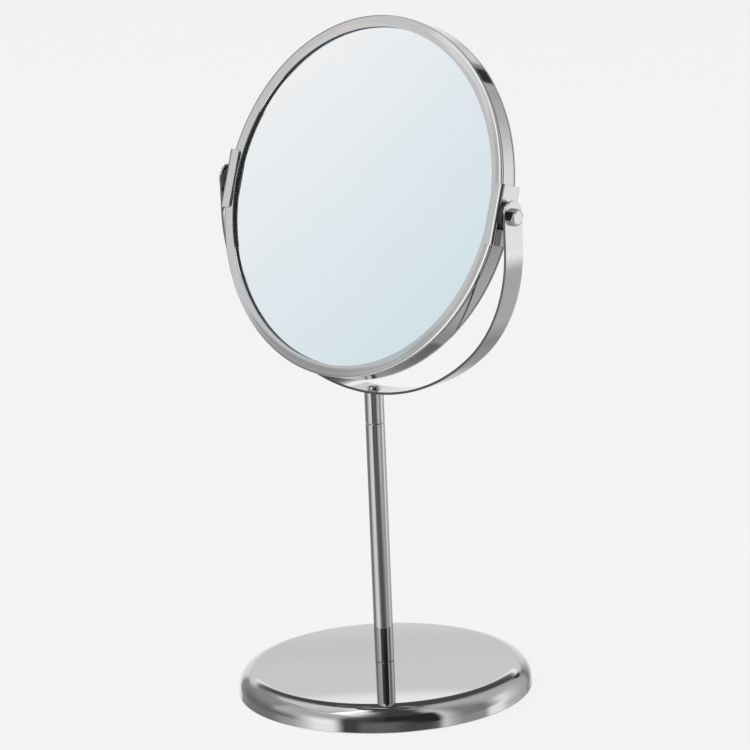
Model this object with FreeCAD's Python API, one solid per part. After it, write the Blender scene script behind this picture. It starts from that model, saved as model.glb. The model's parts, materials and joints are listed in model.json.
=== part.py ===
# Round two-sided table mirror: a ring-framed mirror that turns over in a U-shaped yoke, on a thin stem
# and a low weighted base.
#
# Units are millimetres and degrees. Origin: centre of the footprint, on the table; +Z up.
# The pivot axis lies along X, and the plain glass faces -Y, tipped up by the rest tilt.
import FreeCAD, Part
import math
import os

Vector = FreeCAD.Vector
X_AXIS = Vector(1, 0, 0)
Z_AXIS = Vector(0, 0, 1)

# ---------------------------------------------------------------- driving dimensions
# Base
base_radius = 70.0             # cover, at the widest point of its rounded shoulder
base_height = 13.6             # table to the middle of the crowned top
base_draft = 4.0               # how far the skirt leans in, in degrees
crown_curve = 1600.0           # radius of curvature of the crowned top
shoulder_radius = 8.7          # rounding between skirt and top
cover_sheet = 0.8              # sheet that the cover is pressed from
cover_lift = 0.6               # lower edge of the cover above the table
pad_thickness = 2.0
pad_hole_radius = 9.0          # access to the stem screw
weight_height = 8.0            # table to the top of the weight's plate
weight_boss_radius = 13.0      # raised middle of the weight, which carries the cover
weight_web = 3.2               # metal of that boss above the stem screw's counterbore

# Stem and neck
stem_radius = 4.6
stem_wall = 1.0
seam_chamfer = 0.35            # round the stem tube's two ends and the neck collar's lower one
plug_length = 13.0
collar_web = 1.2               # solid metal between the collar's two threaded holes

# Yoke: a flat strip, bent to a U in the XZ plane
pivot_height = 239.0           # pivot axis above the table
yoke_gap = 6.3                 # ring to the inside of the yoke's bottom
yoke_flatness = 10.4           # how much larger the bottom arc's radius is than the half width
yoke_corner = 70.0             # outer radius of each shoulder of the U
yoke_sheet = 1.2
yoke_strip = 12.0              # width of the strip
yoke_overrun = 1.5             # centre of an arm's round end above the pivot axis

# Mirror ring
ring_radius = 85.0
band_sheet = 0.8
band_run = 0.3                 # length of the slope of the stepped edge
band_seam = 0.5                # groove between a bezel's flange and the band
bezel_sheet = 0.8
bezel_flange = 1.4             # depth of a bezel's rolled rim
bezel_rim_radius = 0.7         # outside rounding of that rim
bezel_overlap = 1.3            # how far a bezel covers the glass
gasket_thickness = 1.1
gasket_setback = 0.3           # gasket bore outside the bezel's opening
glass_thickness = 1.8
glass_curve = 1260.0           # radius of curvature of the magnifying glass
glass_gap = 1.0                # between the two glasses, where they come closest
spacer_wall = 2.2              # rim of the spacer, round the glasses
spacer_land = 3.3              # width of the spacer's seat under a glass

# Side clips
clip_sheet = 1.0
clip_half_length = 14.0        # along the ring, up and down from the pivot
clip_reach = 6.1               # outside of the web to the free edge of a lip
clip_bend = 0.3                # inside radius of its bends
clip_corner = 1.4              # rounding of each lip's free corners

# Pivot hardware, M5
pivot_radius = 2.5             # screw shank
pivot_head_flats = 8.0
pivot_head_height = 3.6
pivot_head_chamfer = 0.6
nut_plate_length = 12.0        # along the ring
nut_plate_thickness = 2.5
washer_radius = 6.5
washer_thickness = 2.6
washer_edge = 0.5

# Stem screw, M5, with its washer and stud
stem_thread_radius = 2.5
stem_screw_length = 16.0
stem_head_radius = 4.25
stem_head_height = 5.0
hex_socket_flats = 4.0
hex_socket_depth = 2.5
lock_washer_radius = 4.4
lock_washer_height = 1.2
lock_washer_gap = 0.8          # split
stud_length = 17.0

# Yoke screw, M3
yoke_thread_radius = 1.5
yoke_screw_length = 7.0
yoke_head_radius = 2.95
yoke_head_height = 2.0
yoke_head_round = 0.9
yoke_slot_width = 0.8
yoke_slot_depth = 1.0

# Pose
rest_tilt = 18.5               # plain glass tipped up from upright

# ---------------------------------------------------------------- clearances
pivot_running = 0.08           # shank in the yoke's holes, on the radius
screw_clearance = 0.1          # screw in a plain hole, on the radius
thread_clearance = 0.05        # screw in its thread, on the radius
plug_clearance = 0.05          # plug in the tube, on the radius
weight_clearance = 0.6         # weight inside the cover, on the radius
counterbore_clearance = 1.5    # round the stem screw's head
flange_clearance = 0.05        # bezel flange over the band's step
seat_clearance = 0.1           # band's edge behind the bezel's face, clip's web off the band
glass_clearance = 0.1          # glass in the spacer's rim, on the radius
band_clearance = 0.25          # gasket and spacer inside the band, on the radius
rim_clearance = 0.2            # spacer's rim and nut plates short of the gaskets
lip_clearance = 0.05           # clip lip off the bezel's face
nut_clearance = 0.15           # nut plate in the spacer's notch and off the band
washer_play = 0.1              # washer and screw head off the yoke's faces

# ---------------------------------------------------------------- derived sizes
# Across the ring, from the outside in
bezel_bore = ring_radius - bezel_sheet
step_radius = bezel_bore - flange_clearance
step_bore = step_radius - band_sheet
band_bore = ring_radius - band_sheet
fill_radius = step_bore - band_clearance            # outside of gaskets and spacer
rim_bore = fill_radius - spacer_wall
glass_radius = rim_bore - glass_clearance
bezel_opening = glass_radius - bezel_overlap

# Through the ring, from its middle plane to the front
glass_sag = glass_curve - math.sqrt(glass_curve ** 2 - glass_radius ** 2)
glass_back = (glass_sag + glass_gap) / 2            # rims of the two glasses, inside
glass_face = glass_back + glass_thickness
bezel_back = glass_face + gasket_thickness
half_depth = bezel_back + bezel_sheet
rim_half = glass_face - rim_clearance               # spacer's rim and nut plates

# Along the pivot axis, from the ring out
clip_inner = ring_radius + seat_clearance
clip_outer = clip_inner + clip_sheet
clip_lip = half_depth + lip_clearance               # inner face of a lip
yoke_inner = clip_outer + washer_thickness + washer_play
yoke_half_width = yoke_inner + yoke_sheet
pivot_hole_radius = pivot_radius + screw_clearance

# Stem and base
yoke_depth = ring_radius + yoke_gap + yoke_sheet    # pivot axis to the lowest point of the outside
collar_top = pivot_height - yoke_depth
collar_screw_depth = yoke_screw_length - yoke_sheet
seam_height = collar_top - collar_screw_depth - collar_web - stud_length / 2
tube_bore = stem_radius - stem_wall
plug_radius = tube_bore - plug_clearance
stem_hole_radius = stem_thread_radius + screw_clearance
stem_thread_bore = stem_thread_radius + thread_clearance
yoke_thread_bore = yoke_thread_radius + thread_clearance
shoulder_side = base_radius - shoulder_radius       # middle of the shoulder's arc
shoulder_rise = math.sqrt((crown_curve - shoulder_radius) ** 2 - shoulder_side ** 2)
shoulder_level = base_height - crown_curve + shoulder_rise
weight_reach = math.sqrt((shoulder_radius - cover_sheet) ** 2 - (weight_height - shoulder_level) ** 2)
weight_radius = shoulder_side + weight_reach - weight_clearance
counterbore_top = base_height - cover_sheet - weight_web

pick = 0.01                                         # tolerance when edges are picked
bend_facets = 3                                     # in a small round stretch of a ring


# ---------------------------------------------------------------- shapes
def outline(start, *steps):
    """Closed face in the XZ plane. A step is an end point (x, z), or a pair of points for an arc:
    one that it passes through, and its end."""
    edges = []
    here = start
    for step in steps + (start,):
        if isinstance(step[0], tuple):
            through, there = step
            points = [Vector(x, 0, z) for x, z in (here, through, there)]
            edges.append(Part.Arc(*points).toShape())
        else:
            there = step
            if here != there:
                edges.append(Part.makeLine(Vector(here[0], 0, here[1]), Vector(there[0], 0, there[1])))
        here = there
    return Part.Face(Part.Wire(edges))


def turned(start, *steps):
    """Solid of revolution about Z of an outline whose points are (radius, height)."""
    return outline(start, *steps).revolve(Vector(0, 0, 0), Z_AXIS, 360)


def disc(radius, low, high, bore=0.0):
    """Plain cylinder about Z between two heights, with a bore if one is given."""
    if bore:
        return turned((bore, low), (radius, low), (radius, high), (bore, high))
    return turned((0, low), (radius, low), (radius, high), (0, high))


def hexagon(flats, low, high):
    """Hexagonal prism about Z, with two of its flats facing +X and -X."""
    corner = flats / math.sqrt(3)
    angles = [math.radians(30 + 60 * step) for step in range(6)]
    points = [Vector(corner * math.cos(a), corner * math.sin(a), low) for a in angles]
    return Part.Face(Part.makePolygon(points + points[:1])).extrude(Vector(0, 0, high - low))


def centred_box(size_x, size_y, low, high):
    """Box about the Z axis between two heights."""
    return Part.makeBox(size_x, size_y, high - low, Vector(-size_x / 2, -size_y / 2, low))


def drop(curve, radius):
    """How far a dome of the given radius of curvature falls from its middle to a radius."""
    return curve - math.sqrt(curve ** 2 - radius ** 2)


def dome(curve, top):
    """Ball whose upper side crowns a round piece, with its highest point at a height on the Z axis. Its
    poles lie sideways, where they don't crowd the middle of the crown."""
    ball = Part.makeSphere(curve)
    ball.rotate(Vector(0, 0, 0), X_AXIS, 90)
    ball.translate(Vector(0, 0, top - curve))
    return ball


def corner_point(centre, radius, angle):
    """Point of a circle at an angle, in degrees from the outline's first axis."""
    turn = math.radians(angle)
    return (centre[0] + radius * math.cos(turn), centre[1] + radius * math.sin(turn))


def bend(centre, radius, first, last):
    """Points of a small round stretch between two angles, in a few facets that keep a ring light."""
    step = (last - first) / bend_facets
    return [corner_point(centre, radius, first + step * count) for count in range(bend_facets + 1)]


def round_edges(shape, radius, chosen):
    """Fillet the edges that the test picks."""
    return shape.makeFillet(radius, [edge for edge in shape.Edges if chosen(edge)])


def to_side(shape, side):
    """Turn a piece made about Z to lie along the pivot axis, with its +Z end outwards, on one side."""
    placed = shape.copy()
    placed.rotate(Vector(0, 0, 0), Vector(0, 1, 0), 90 * side)
    return placed


def to_rest(shape):
    """Move a piece of the mirror head, made round its pivot with +Z out of the plain glass, to its rest."""
    placed = shape.copy()
    placed.rotate(Vector(0, 0, 0), X_AXIS, 90 - rest_tilt)
    placed.translate(Vector(0, 0, pivot_height))
    return placed


# ---------------------------------------------------------------- base
def base_form(inset):
    """Outside of the base, drawn in by an inset on all faces but the lowest.

    The shoulder touches the crown, so the distance between their centres is the difference of their radii.
    """
    centre = (shoulder_side, shoulder_level)
    turn = math.degrees(math.atan2(shoulder_rise, shoulder_side))
    radius = shoulder_radius - inset
    start, middle, end = [corner_point(centre, radius, angle)
                          for angle in (base_draft, (base_draft + turn) / 2, turn)]
    foot = start[0] + (start[1] - cover_lift) * math.tan(math.radians(base_draft))
    lower = turned((0, cover_lift), (foot, cover_lift), start, (middle, end), (0, end[1]))
    crown = disc(base_radius, end[1], base_height).common(dome(crown_curve - inset, base_height - inset))
    return lower.fuse(crown).removeSplitter()


def base_cover():
    """Pressed cover: crowned top, rounded shoulder and leaning skirt, with a hole for the stem screw."""
    shell = base_form(0).cut(base_form(cover_sheet))
    return shell.cut(disc(stem_hole_radius, 0, base_height))


def base_weight():
    """Cast plate inside the cover, with a raised middle and a counterbore for the stem screw."""
    plate = disc(weight_radius, pad_thickness, weight_height)
    boss = disc(weight_boss_radius, pad_thickness, base_height)
    weight = plate.fuse(boss.common(dome(crown_curve - cover_sheet, base_height - cover_sheet)))
    weight = weight.cut(disc(stem_head_radius + counterbore_clearance, 0, counterbore_top))
    return weight.cut(disc(stem_hole_radius, 0, base_height))


def base_pad():
    """Soft pad under the weight, as wide as it, that stands proud of the cover's lower edge."""
    return disc(weight_radius, 0, pad_thickness, pad_hole_radius)


def stem_screw():
    """Socket-head screw from below, up into the stem."""
    seat = counterbore_top - lock_washer_height
    screw = disc(stem_head_radius, seat - stem_head_height, seat)
    screw = screw.fuse(disc(stem_thread_radius, seat, seat + stem_screw_length))
    low = seat - stem_head_height
    return screw.cut(hexagon(hex_socket_flats, low, low + hex_socket_depth))


def lock_washer():
    """Split spring washer between the screw's head and the weight."""
    ring = disc(lock_washer_radius, counterbore_top - lock_washer_height, counterbore_top, stem_hole_radius)
    split = Part.makeBox(base_radius, lock_washer_gap, base_height, Vector(0, -lock_washer_gap / 2, 0))
    return ring.cut(split)


# ---------------------------------------------------------------- stem and neck
def stem_tube():
    """Polished tube that stands on the cover, with a chamfer round each end."""
    low = base_height
    high = seam_height
    face = stem_radius - seam_chamfer
    return turned((tube_bore, low), (face, low), (stem_radius, low + seam_chamfer),
                  (stem_radius, high - seam_chamfer), (face, high), (tube_bore, high))


def stem_plug(low):
    """Threaded insert inside the tube."""
    return disc(plug_radius, low, low + plug_length, stem_thread_bore)


def coupling_stud():
    """Threaded stud, half in the upper plug and half in the collar."""
    return disc(stem_thread_radius, seam_height - stud_length / 2, seam_height + stud_length / 2)


def neck_collar():
    """Turned neck piece with a threaded hole in each end."""
    low = seam_height
    high = collar_top
    collar = turned((0, low), (stem_radius - seam_chamfer, low), (stem_radius, low + seam_chamfer),
                    (stem_radius, high), (0, high))
    collar = collar.cut(disc(stem_thread_bore, low, low + stud_length / 2))
    return collar.cut(disc(yoke_thread_bore, high - collar_screw_depth, high))


# ---------------------------------------------------------------- yoke
def yoke_points(inset):
    """Points of the U's right half about the pivot axis, drawn in by an inset: foot of the arm's
    straight, middle and end of its shoulder arc, lowest point.

    The bottom arc touches the shoulder arc, so the distance between their centres is the difference of
    their radii, and that gives the length of the straight.
    """
    bottom_curve = yoke_half_width + yoke_flatness
    side = yoke_half_width - yoke_corner
    above = math.sqrt((bottom_curve - yoke_corner) ** 2 - side ** 2)
    bottom_centre = bottom_curve - yoke_depth
    centre = (side, bottom_centre - above)
    turn = -math.degrees(math.atan2(above, side))
    shoulder = corner_point(centre, yoke_corner - inset, turn / 2)
    end = corner_point(centre, yoke_corner - inset, turn)
    return (yoke_half_width - inset, centre[1]), shoulder, end, (0.0, inset - yoke_depth)


def mirrored(point):
    """The same point on the other side of the YZ plane."""
    return (-point[0], point[1])


def yoke_form(inset, top):
    """Face of everything inside the U, up to a height above the pivot axis."""
    foot, shoulder, end, bottom = yoke_points(inset)
    side = foot[0]
    return outline((side, top), foot, (shoulder, end), (bottom, mirrored(end)),
                   (mirrored(shoulder), mirrored(foot)), (-side, top))


def yoke():
    """Flat strip bent to a U, with round ends, two pivot holes and the screw hole in its bottom."""
    half = yoke_strip / 2
    top = yoke_overrun + half
    section = yoke_form(0, top).cut(yoke_form(yoke_sheet, top))
    strip = section.extrude(Vector(0, yoke_strip, 0))
    strip.translate(Vector(0, -half, 0))
    ends = disc(half, -yoke_half_width, yoke_half_width)
    ends.rotate(Vector(0, 0, 0), Vector(0, 1, 0), 90)
    ends.translate(Vector(0, 0, yoke_overrun))
    below = centred_box(2 * yoke_half_width, yoke_strip, -yoke_depth, yoke_overrun)
    strip = strip.common(ends.fuse(below))
    drill = disc(pivot_radius + pivot_running, -yoke_half_width, yoke_half_width)
    strip = strip.cut(to_side(drill, 1))
    strip = strip.cut(disc(yoke_thread_radius + screw_clearance, -yoke_depth, -ring_radius))
    strip.translate(Vector(0, 0, pivot_height))
    return strip


def yoke_screw():
    """Slotted pan-head screw that holds the yoke on the neck collar."""
    inner_curve = yoke_half_width + yoke_flatness - yoke_sheet
    seat = collar_top + yoke_sheet + drop(inner_curve, yoke_head_radius)
    top = seat + yoke_head_height
    centre = (yoke_head_radius - yoke_head_round, top - yoke_head_round)
    head = turned((0, seat), (yoke_head_radius, seat), *bend(centre, yoke_head_round, 0, 90), (0, top))
    screw = head.fuse(disc(yoke_thread_radius, seat - yoke_screw_length, seat))
    return screw.cut(centred_box(yoke_slot_width, 2 * yoke_head_radius, top - yoke_slot_depth, top))


# ---------------------------------------------------------------- mirror head, round its pivot
def ring_band():
    """Hoop with a step at each edge, over which the bezels' flanges lie."""
    edge = bezel_back - seat_clearance
    slope = half_depth - bezel_flange - band_seam
    step = slope + band_run
    band = turned((ring_radius, -slope), (ring_radius, slope), (step_radius, step), (step_radius, edge),
                  (step_bore, edge), (step_bore, step), (band_bore, slope), (band_bore, -slope),
                  (step_bore, -step), (step_bore, -edge), (step_radius, -edge), (step_radius, -step))
    return band.cut(to_side(disc(pivot_hole_radius, -ring_radius, ring_radius), 1))


def bezel():
    """Pressed ring with a rolled rim, for the front; the rear one is its mirror image."""
    rim = bezel_rim_radius
    flange = half_depth - bezel_flange
    rolled = bend((ring_radius - rim, half_depth - rim), rim, 90, 0)
    return turned((bezel_opening, bezel_back), (bezel_opening, half_depth), *rolled, (ring_radius, flange),
                  (bezel_bore, flange), (bezel_bore, bezel_back))


def gasket():
    """Flat bedding ring behind the front bezel; the rear one is its mirror image."""
    return disc(fill_radius, glass_face, bezel_back, bezel_opening + gasket_setback)


def turned_over(shape):
    """The same piece at the back of the ring."""
    return shape.mirror(Vector(0, 0, 0), Z_AXIS)


def plain_glass():
    """Flat mirror glass."""
    return disc(glass_radius, glass_back, glass_face)


def magnifying_glass():
    """Concave mirror glass of even thickness, hollow towards the back of the ring."""
    blank = disc(glass_radius, -half_depth, half_depth)
    domed = blank.common(dome(glass_curve, glass_sag - glass_back))
    return domed.cut(dome(glass_curve, glass_sag - glass_face))


def glass_spacer():
    """Moulded ring between the glasses. Its outer rim centres them and holds the nut plates in two
    notches, and its rear seat follows the curved glass."""
    bore = rim_bore - spacer_land
    ring = turned((bore, -glass_back), (rim_bore, -glass_back), (rim_bore, -rim_half),
                  (fill_radius, -rim_half), (fill_radius, rim_half), (rim_bore, rim_half),
                  (rim_bore, glass_back), (bore, glass_back))
    notch = centred_box(2 * ring_radius, nut_plate_length + 2 * nut_clearance, -half_depth, half_depth)
    ring = ring.cut(notch.cut(disc(rim_bore, -half_depth, half_depth)))
    return ring.cut(magnifying_glass())


def clip(side):
    """Bent channel over both bezels at one pivot, with a hole for the pivot screw."""
    web = clip_outer
    out = clip_lip + clip_sheet
    free = web - clip_reach
    inner = clip_bend
    outer = clip_bend + clip_sheet
    centre = (web - outer, out - outer)
    under = (centre[0], -centre[1])
    section = outline((free, clip_lip), (centre[0], clip_lip),
                      (corner_point(centre, inner, 45), (clip_inner, centre[1])), (clip_inner, under[1]),
                      (corner_point(under, inner, -45), (under[0], -clip_lip)), (free, -clip_lip),
                      (free, -out), (under[0], -out), (corner_point(under, outer, -45), (web, under[1])),
                      (web, centre[1]), (corner_point(centre, outer, 45), (centre[0], out)), (free, out))
    channel = section.extrude(Vector(0, 2 * clip_half_length, 0))
    channel.translate(Vector(0, -clip_half_length, 0))
    channel = round_edges(channel, clip_corner,
                          lambda edge: edge.BoundBox.XMax < free + pick and edge.BoundBox.YLength < pick)
    channel = channel.cut(to_side(disc(pivot_hole_radius, 0, yoke_half_width), 1))
    return channel if side > 0 else channel.mirror(Vector(0, 0, 0), X_AXIS)


def pivot_washer(side):
    """Nylon friction washer between clip and yoke."""
    low = clip_outer
    high = low + washer_thickness
    edge = washer_edge
    ring = turned((pivot_hole_radius, low), (washer_radius - edge, low), (washer_radius, low + edge),
                  (washer_radius, high - edge), (washer_radius - edge, high), (pivot_hole_radius, high))
    return to_side(ring, side)


def nut_plate_span():
    """Inner and outer face of a nut plate, which lies flat inside the curved band."""
    outer = band_bore - drop(band_bore, nut_plate_length / 2) - nut_clearance
    return outer - nut_plate_thickness, outer


def pivot_screw(side):
    """Hexagon-head screw that the yoke's arm turns on."""
    seat = yoke_half_width + washer_play
    top = seat + pivot_head_height
    corner = pivot_head_flats / math.sqrt(3)
    crown = pivot_head_flats / 2 - pivot_head_chamfer
    envelope = turned((0, seat), (corner, seat), (corner, top - pivot_head_chamfer), (crown, top), (0, top))
    head = hexagon(pivot_head_flats, seat, top).common(envelope)
    return to_side(head.fuse(disc(pivot_radius, nut_plate_span()[0], seat)), side)


def nut_plate(side):
    """Threaded plate inside the band, kept from turning by the spacer's notch."""
    low, high = nut_plate_span()
    plate = centred_box(2 * rim_half, nut_plate_length, low, high)
    return to_side(plate.cut(disc(pivot_radius + thread_clearance, 0, ring_radius)), side)


# ---------------------------------------------------------------- assembly
stand = {
    "base_cover": base_cover(),
    "base_weight": base_weight(),
    "base_pad": base_pad(),
    "stem_screw": stem_screw(),
    "lock_washer": lock_washer(),
    "stem_tube": stem_tube(),
    "stem_lower_plug": stem_plug(base_height),
    "stem_upper_plug": stem_plug(seam_height - plug_length),
    "coupling_stud": coupling_stud(),
    "neck_collar": neck_collar(),
    "yoke": yoke(),
    "yoke_screw": yoke_screw(),
}
head = {
    "ring_band": ring_band(),
    "front_bezel": bezel(),
    "rear_bezel": turned_over(bezel()),
    "front_gasket": gasket(),
    "rear_gasket": turned_over(gasket()),
    "plain_glass": plain_glass(),
    "magnifying_glass": magnifying_glass(),
    "glass_spacer": glass_spacer(),
}
for name, side in (("left", -1), ("right", 1)):
    head["clip_" + name] = clip(side)
    head["pivot_washer_" + name] = pivot_washer(side)
    head["pivot_screw_" + name] = pivot_screw(side)
    head["nut_plate_" + name] = nut_plate(side)

nodes = dict(stand)
nodes.update((name, to_rest(shape)) for name, shape in head.items())

os.makedirs("parts", exist_ok=True)
for name, shape in nodes.items():
    if not shape.isValid() or len(shape.Solids) != 1:
        raise ValueError(name + " is not one sound solid")
    shape.exportStep("parts/" + name + ".step")
    box = shape.BoundBox
    print("%-20s %9.1f mm3  z %7.2f to %7.2f" % (name, shape.Volume, box.ZMin, box.ZMax))
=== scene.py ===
"""Looks of a round two-sided table mirror: polished steel, silvered glass, nylon, and near-black rings under
the bezels that paint the shade between bezel and glass.

Sizes are in millimetres and angles in degrees unless a name says otherwise. Each piece is worked out in a
frame of its own (the stand's, the mirror head's or one pivot's) and put into its mesh in metres.
"""

from __future__ import annotations

import json
import logging
import math
from collections.abc import Sequence
from dataclasses import dataclass, field, replace
from enum import Enum

import bpy
import numpy as np
from mathutils import Matrix, Vector


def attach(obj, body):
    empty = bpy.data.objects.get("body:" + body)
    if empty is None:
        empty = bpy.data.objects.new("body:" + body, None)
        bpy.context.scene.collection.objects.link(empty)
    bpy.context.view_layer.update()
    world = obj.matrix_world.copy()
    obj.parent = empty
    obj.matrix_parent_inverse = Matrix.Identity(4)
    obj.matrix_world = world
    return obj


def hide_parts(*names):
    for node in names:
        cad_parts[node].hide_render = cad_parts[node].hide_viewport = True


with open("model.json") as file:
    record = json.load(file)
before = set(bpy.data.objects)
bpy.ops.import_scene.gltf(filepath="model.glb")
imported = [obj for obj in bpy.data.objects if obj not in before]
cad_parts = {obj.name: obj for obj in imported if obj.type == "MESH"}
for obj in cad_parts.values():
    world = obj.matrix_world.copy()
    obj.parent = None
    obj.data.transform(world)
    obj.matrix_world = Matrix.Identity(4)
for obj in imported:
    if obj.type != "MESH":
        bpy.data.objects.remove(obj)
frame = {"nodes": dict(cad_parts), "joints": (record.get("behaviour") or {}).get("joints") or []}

Array = np.ndarray
Colour = tuple[float, float, float]
log = logging.getLogger("table_mirror")

MM = 0.001
PIVOT = Vector(frame["joints"][0]["pos_m"])
REST_TILT = 18.5  # the plain glass tipped up from upright

MERGE_METRES = 1e-7  # points that round to the same multiple of it are one
RING_STEPS = 384  # round the ring and the base cover
DISC_STEPS = 256  # round the glasses and the pad
ROD_STEPS = 96  # round stem, collar and washers
SHANK_STEPS = 64  # round a screw's shank
CORNER_COLUMNS = 13  # in each rounded end of a strip
CROSS_POINTS = 9  # across a strip
COLUMN_GAP = 1.4  # roughly, between columns along a strip
LEAST_COLUMNS = 9  # between a strip's rounded ends
POINTED_TURN = 87  # of a fully round end's corners, which leaves its tip a short flat
HEXAGON_POINTS = 12  # on each stretch of a hexagon head's outline
CHAMFER_LEVELS = 16  # up a hexagon head's chamfer
SOLVING_TURNS = 30  # to settle the base's shoulder between skirt and crown
EDGE_TURN = 32  # turn between two faces past which their edge is softened
SHELL_STEP = 0.75  # between the lines of a reflecting shell's grid


# ---------------------------------------------------------------- names
class Body(Enum):
    """The bodies that pieces move with."""

    STAND = "stand"
    HEAD = "mirror_head"


class Side(Enum):
    """The two ends of the pivot axis."""

    LEFT = "left"
    RIGHT = "right"


class Face(Enum):
    """The two faces of the mirror head."""

    FRONT = "front"
    REAR = "rear"


class Place(Enum):
    """Frames that pieces are worked out in. HEAD has its origin on the pivot axis and +Z out of the plain
    glass; RIGHT and LEFT have +Z outwards along the pivot axis."""

    STAND = "stand"
    HEAD = "head"
    RIGHT = "right"
    LEFT = "left"

    @property
    def body(self) -> Body:
        """The body that pieces of this frame move with."""
        return Body.STAND if self is Place.STAND else Body.HEAD

    def matrix(self) -> Matrix:
        """The frame's place among the bodies at rest.

        Returns:
            Its matrix, in metres.
        """
        if self is Place.STAND:
            return Matrix.Identity(4)
        head = Matrix.Translation(PIVOT) @ Matrix.Rotation(math.radians(90 - REST_TILT), 4, "X")
        if self is Place.HEAD:
            return head
        turn = 90 if self is Place.RIGHT else -90
        return head @ Matrix.Rotation(math.radians(turn), 4, "Y")


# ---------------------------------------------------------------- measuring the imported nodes
@dataclass(frozen=True)
class Extent:
    """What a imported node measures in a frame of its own, in millimetres."""

    low: Array
    high: Array
    bore: float
    radius: float

    @property
    def bottom(self) -> float:
        """Lowest point along the frame's Z axis."""
        return float(self.low[2])

    @property
    def top(self) -> float:
        """Highest point along the frame's Z axis."""
        return float(self.high[2])


def measure(node: str, place: Place) -> Extent:
    """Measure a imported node.

    Args:
        node: Name of the node.
        place: Frame to measure it in.

    Returns:
        Its box there, and the least and greatest distance of its points from the frame's Z axis.
    """
    vertices = frame["nodes"][node].data.vertices
    points = np.empty(len(vertices) * 3)
    vertices.foreach_get("co", points)
    inverse = np.array(place.matrix().inverted())
    local = (points.reshape(-1, 3) @ inverse[:3, :3].T + inverse[:3, 3]) / MM
    reach = np.hypot(local[:, 0], local[:, 1])
    return Extent(local.min(0), local.max(0), float(reach.min()), float(reach.max()))


def measured(node: str, place: Place) -> Extent:
    """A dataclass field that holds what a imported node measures."""
    return field(default_factory=lambda: measure(node, place))


# ---------------------------------------------------------------- sections
@dataclass(frozen=True)
class Section:
    """A line in a plane, as points and unit normals, both (count, 2)."""

    points: Array
    normals: Array

    def __add__(self, other: Section) -> Section:
        """This line followed by another."""
        return Section(np.vstack([self.points, other.points]), np.vstack([self.normals, other.normals]))

    def mirrored(self) -> Section:
        """The same line on the other side of the first axis, run the other way."""
        flip = np.array([1.0, -1.0])
        return Section((self.points * flip)[::-1], (self.normals * flip)[::-1])


def arc(centre: tuple[float, float], radius: float, first: float, last: float, steps: int) -> Section:
    """Round stretch: centre + radius * (cos, sin) of evenly spaced angles, whose normals point outwards.

    Args:
        centre: Its centre.
        radius: Its radius.
        first: Angle of its first point.
        last: Angle of its last point.
        steps: Number of equal steps.

    Returns:
        The stretch.
    """
    angles = np.radians(np.linspace(first, last, steps + 1))
    normals = np.stack([np.cos(angles), np.sin(angles)], 1)
    return Section(np.array(centre) + radius * normals, normals)


def oval(centre: tuple[float, float], across: float, along: float, steps: int) -> Section:
    """Quarter of an ellipse from its first axis to its second: (across cos t, along sin t), with the normal
    (cos t / across, sin t / along) made a unit long.

    Args:
        centre: Its centre.
        across: Half of its first axis.
        along: Half of its second axis.
        steps: Number of steps.

    Returns:
        The quarter.
    """
    angles = np.linspace(0, math.pi / 2, steps + 1)
    around = np.stack([np.cos(angles), np.sin(angles)], 1)
    half = np.array([across, along])
    normals = around / half
    normals /= np.linalg.norm(normals, axis=1, keepdims=True)
    return Section(np.array(centre) + around * half, normals)


def rounded(corners: Sequence[tuple[float, float, float]], closed: bool = True, steps: int = 5) -> Section:
    """Line through corners, each rounded by an arc that touches both of its sides.

    With the two sides' directions before and after a corner, the arc starts radius * tan(turn / 2) before
    the corner and its normal turns from one side's normal to the other's. The line runs anticlockwise round
    its solid, so a normal is its direction turned clockwise by a right angle.

    Args:
        corners: Corners as (first axis, second axis, rounding radius).
        closed: Whether the last corner joins the first.
        steps: Steps in each arc.

    Returns:
        The rounded line. An open line keeps its two end points sharp.
    """
    places = [np.array(corner[:2], float) for corner in corners]
    count = len(places)
    points: list[Array] = []
    normals: list[Array] = []
    for index, (here, corner) in enumerate(zip(places, corners)):
        before = here - places[index - 1]
        after = places[(index + 1) % count] - here
        if not closed and index in (0, count - 1):
            way = after if index == 0 else before
            way = way / np.linalg.norm(way)
            points.append(here[None])
            normals.append(np.array([[way[1], -way[0]]]))
            continue
        before, after = before / np.linalg.norm(before), after / np.linalg.norm(after)
        turn = math.atan2(before[0] * after[1] - before[1] * after[0], float(before @ after))
        sign = math.copysign(1.0, turn)
        start = here - before * corner[2] * math.tan(abs(turn) / 2)
        centre = start - sign * corner[2] * np.array([before[1], -before[0]])
        angles = math.atan2(-before[0], before[1]) + np.linspace(0, turn, steps + 1)
        around = np.stack([np.cos(angles), np.sin(angles)], 1)
        points.append(centre + sign * corner[2] * around)
        normals.append(around)
    if closed:
        points.append(points[0][:1])
        normals.append(normals[0][:1])
    return Section(np.vstack(points), np.vstack(normals))


def ring_section(ring: Extent, roundings: tuple[float, float, float, float]) -> Section:
    """Rectangular section of a ring.

    Args:
        ring: What the ring measures.
        roundings: Of its corners: inner and outer at the bottom, outer and inner at the top.

    Returns:
        The rounded rectangle.
    """
    corners = ((ring.bore, ring.bottom), (ring.radius, ring.bottom),
               (ring.radius, ring.top), (ring.bore, ring.top))
    return rounded([(*corner, rounding) for corner, rounding in zip(corners, roundings)])


# ---------------------------------------------------------------- surfaces
@dataclass(frozen=True)
class Patch:
    """A grid of points and unit normals, both (rows, columns, 3)."""

    points: Array
    normals: Array

    def inward(self) -> bool:
        """Compare the grid's own direction, along x across, with its normals.

        Returns:
            Whether its faces would point against its normals.
        """
        along = np.diff(self.points, axis=0)[:, :-1]
        across = np.diff(self.points, axis=1)[:-1]
        return float((np.cross(along, across) * self.normals[:-1, :-1]).sum()) < 0


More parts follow.
